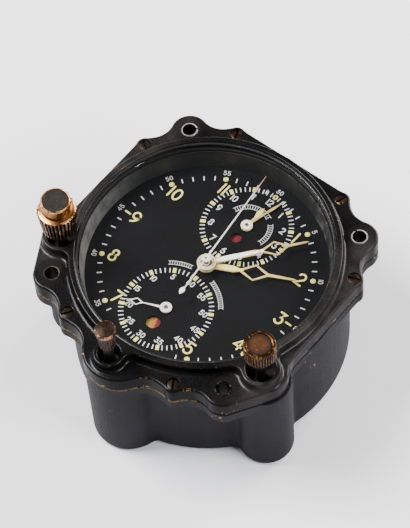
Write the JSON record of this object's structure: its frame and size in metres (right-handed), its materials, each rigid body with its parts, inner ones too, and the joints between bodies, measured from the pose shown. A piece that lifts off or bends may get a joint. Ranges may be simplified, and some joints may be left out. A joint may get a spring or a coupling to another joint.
{
  "type": "aircraft clock",
  "caption": "Panel-mounted aircraft clock with a main dial, two small counter dials, a winding knob and two push buttons on a flanged round case.",
  "frame": {"origin": "on the dial axis at the back face of the case", "axes": "+Z out of the dial, +Y towards the 12 o'clock side of the flange, +X towards its 3 o'clock side"},
  "size_m": [0.0884, 0.0907, 0.0621],
  "materials": {
    "case_paint": "satin",
    "frame_lacquer": "gloss",
    "seal_rubber": "matt",
    "crystal": "polished",
    "reflector_paint": "satin",
    "dial_paint": "matt",
    "dial_print": "matt",
    "copper_gilt": "satin",
    "dark_inlay": "satin",
    "amber_inlay": "gloss",
    "steel": "polished",
    "blued_steel": "polished",
    "brass": "brushed",
    "bush_bronze": "aged",
    "jewel": "polished",
    "white_lume": "matt",
    "yellow_lume": "matt",
    "flag_red": "matt",
    "flag_two_tone": "matt"
  },
  "bodies": {
    "case": {"rear_case": "case_paint", "front_frame": "frame_lacquer", "case_gasket": "seal_rubber", "glass": "crystal", "glass_gasket": "seal_rubber", "glass_retaining_ring": "frame_lacquer", "reflector_ring": "reflector_paint", "dial": "dial_paint", "dial_markings": "dial_print", "mount_bushes": "steel", "frame_screws": "bush_bronze", "control_bushes": "bush_bronze", "start_spring": "steel", "elapsed_spring": "steel", "main_plate": "brass", "back_plate": "brass", "pillars": "brass", "movement_screws": "blued_steel", "train_jewels": "jewel", "balance_cock": "brass"},
    "wind_gear": {"winding_pinion": "steel"},
    "wind_knob": {"winding_knob": "copper_gilt", "winding_inlay": "dark_inlay", "winding_stem": "steel"},
    "crown": {"crown_wheel": "steel"},
    "ratchet": {"ratchet_wheel": "steel", "barrel_arbor": "steel"},
    "click": {"click": "steel"},
    "barrel": {"barrel": "brass", "mainspring": "blued_steel"},
    "centre": {"centre_wheel": "brass"},
    "third": {"third_wheel": "brass"},
    "fourth": {"fourth_wheel": "brass"},
    "escape": {"escape_wheel": "steel"},
    "fork": {"pallet_fork": "steel"},
    "balance": {"balance_wheel": "brass", "hairspring": "blued_steel"},
    "minute": {"cannon_pinion": "steel", "minute_hand": "white_lume"},
    "minute_motion": {"minute_wheel": "brass"},
    "hour": {"hour_wheel": "brass", "hour_hand": "yellow_lume"},
    "chrono": {"chrono_arbor": "steel", "seconds_hand": "white_lume"},
    "total": {"total_arbor": "steel", "total_hand": "white_lume"},
    "elapsed_minutes": {"elapsed_arbor": "steel", "elapsed_minute_hand": "yellow_lume"},
    "elapsed_motion": {"elapsed_motion_wheel": "brass"},
    "elapsed_hours": {"elapsed_hour_wheel": "brass", "elapsed_hour_hand": "yellow_lume"},
    "start_push": {"start_button": "copper_gilt", "start_inlay": "amber_inlay", "start_stem": "bush_bronze"},
    "start_rocker": {"start_lever": "steel"},
    "elapsed_push": {"elapsed_button": "copper_gilt", "elapsed_stem": "bush_bronze"},
    "elapsed_rocker": {"elapsed_lever": "steel"},
    "elapsed_window": {"elapsed_flag": "flag_red"},
    "total_window": {"total_flag": "flag_two_tone"}
  },
  "joints": [
    {"name": "winding_turn", "type": "hinge", "parent": "case", "child": "wind_gear", "pos_m": [-0.03637, -0.021, 0], "axis": [0, 0, 1], "continuous": true},
    {"name": "winding_pull", "type": "slide", "parent": "wind_gear", "child": "wind_knob", "axis": [0, 0, 1], "range_m": [0, 0.002]},
    {"name": "crown_turn", "type": "hinge", "parent": "case", "child": "crown", "pos_m": [-0.02721, -0.01492, 0], "axis": [0, 0, 1], "continuous": true},
    {"name": "ratchet_turn", "type": "hinge", "parent": "case", "child": "ratchet", "pos_m": [-0.01799, 0.00055, 0], "axis": [0, 0, 1], "continuous": true},
    {"name": "click_lift", "type": "hinge", "parent": "case", "child": "click", "pos_m": [-0.01022, 0.01096, 0], "axis": [0, 0, 1], "range_deg": [-12, 0]},
    {"name": "fourth_turn", "type": "hinge", "parent": "case", "child": "fourth", "pos_m": [0.01927, -0.0084, 0], "axis": [0, 0, 1], "continuous": true},
    {"name": "third_turn", "type": "hinge", "parent": "case", "child": "third", "pos_m": [0.01295, -0.00039, 0], "axis": [0, 0, 1], "continuous": true},
    {"name": "centre_turn", "type": "hinge", "parent": "case", "child": "centre", "pos_m": [0, 0, 0], "axis": [0, 0, 1], "continuous": true},
    {"name": "barrel_turn", "type": "hinge", "parent": "case", "child": "barrel", "pos_m": [-0.01799, 0.00055, 0], "axis": [0, 0, 1], "continuous": true},
    {"name": "escape_turn", "type": "hinge", "parent": "case", "child": "escape", "pos_m": [0.02385, -0.01693, 0], "axis": [0, 0, 1], "continuous": true},
    {"name": "fork_rock", "type": "hinge", "parent": "case", "child": "fork", "pos_m": [0.01874, -0.01968, 0], "axis": [0, 0, 1], "range_deg": [-2.5, 2.5]},
    {"name": "balance_swing", "type": "hinge", "parent": "case", "child": "balance", "pos_m": [0.00976, -0.0245, 0], "axis": [0, 0, 1], "range_deg": [-220, 220], "stiffness_Nm_per_rad": 0.000011},
    {"name": "minute_turn", "type": "hinge", "parent": "case", "child": "minute", "pos_m": [0, 0, 0], "axis": [0, 0, 1], "continuous": true},
    {"name": "minute_wheel_turn", "type": "hinge", "parent": "case", "child": "minute_motion", "pos_m": [0.00661, 0.00284, 0], "axis": [0, 0, 1], "continuous": true},
    {"name": "hour_turn", "type": "hinge", "parent": "case", "child": "hour", "pos_m": [0, 0, 0], "axis": [0, 0, 1], "continuous": true},
    {"name": "seconds_turn", "type": "hinge", "parent": "case", "child": "chrono", "pos_m": [0, 0, 0], "axis": [0, 0, 1], "continuous": true},
    {"name": "total_turn", "type": "hinge", "parent": "case", "child": "total", "pos_m": [-0.00055, -0.01799, 0], "axis": [0, 0, 1], "continuous": true},
    {"name": "elapsed_minute_turn", "type": "hinge", "parent": "case", "child": "elapsed_minutes", "pos_m": [0.00055, 0.01799, 0], "axis": [0, 0, 1], "continuous": true},
    {"name": "elapsed_motion_turn", "type": "hinge", "parent": "case", "child": "elapsed_motion", "pos_m": [0.0028, 0.02246, 0], "axis": [0, 0, 1], "continuous": true},
    {"name": "elapsed_hour_turn", "type": "hinge", "parent": "case", "child": "elapsed_hours", "pos_m": [0.00055, 0.01799, 0], "axis": [0, 0, 1], "continuous": true},
    {"name": "start_press", "type": "slide", "parent": "case", "child": "start_push", "axis": [0, 0, -1], "range_m": [0, 0.0025], "stiffness_N_per_m": 600, "springref_m": -0.002, "deforming": ["start_spring"]},
    {"name": "start_lever_rock", "type": "hinge", "parent": "case", "child": "start_rocker", "pos_m": [0.02165, -0.0125, 0.0115], "axis": [0.5, 0.866, 0], "range_deg": [0, 8.1]},
    {"name": "elapsed_press", "type": "slide", "parent": "case", "child": "elapsed_push", "axis": [0, 0, -1], "range_m": [0, 0.0025], "stiffness_N_per_m": 600, "springref_m": -0.002, "deforming": ["elapsed_spring"]},
    {"name": "elapsed_lever_rock", "type": "hinge", "parent": "case", "child": "elapsed_rocker", "pos_m": [0, -0.025, 0.0115], "axis": [1, 0, 0], "range_deg": [0, 8]},
    {"name": "elapsed_flag_turn", "type": "hinge", "parent": "case", "child": "elapsed_window", "pos_m": [0.00336, 0.0118, 0], "axis": [0, 0, 1], "range_deg": [0, 90]},
    {"name": "total_flag_turn", "type": "hinge", "parent": "case", "child": "total_window", "pos_m": [0.00265, -0.02489, 0], "axis": [0, 0, 1], "range_deg": [0, 90]}
  ],
  "couplings": [
    {"joint": "crown_turn", "follows": "winding_turn", "ratio": -0.375},
    {"joint": "ratchet_turn", "follows": "winding_turn", "ratio": 0.3},
    {"joint": "third_turn", "follows": "fourth_turn", "ratio": -0.13333},
    {"joint": "centre_turn", "follows": "fourth_turn", "ratio": 0.016667},
    {"joint": "barrel_turn", "follows": "fourth_turn", "ratio": -0.0020833},
    {"joint": "escape_turn", "follows": "fourth_turn", "ratio": -10},
    {"joint": "minute_wheel_turn", "follows": "minute_turn", "ratio": -0.33333},
    {"joint": "hour_turn", "follows": "minute_turn", "ratio": 0.083333},
    {"joint": "total_turn", "follows": "seconds_turn", "ratio": -0.016667},
    {"joint": "elapsed_motion_turn", "follows": "elapsed_minute_turn", "ratio": -0.33333},
    {"joint": "elapsed_hour_turn", "follows": "elapsed_minute_turn", "ratio": 0.083333},
    {"joint": "start_lever_rock", "follows": "start_press", "rad_per_m": 56.497},
    {"joint": "elapsed_lever_rock", "follows": "elapsed_press", "rad_per_m": 55.556}
  ]
}
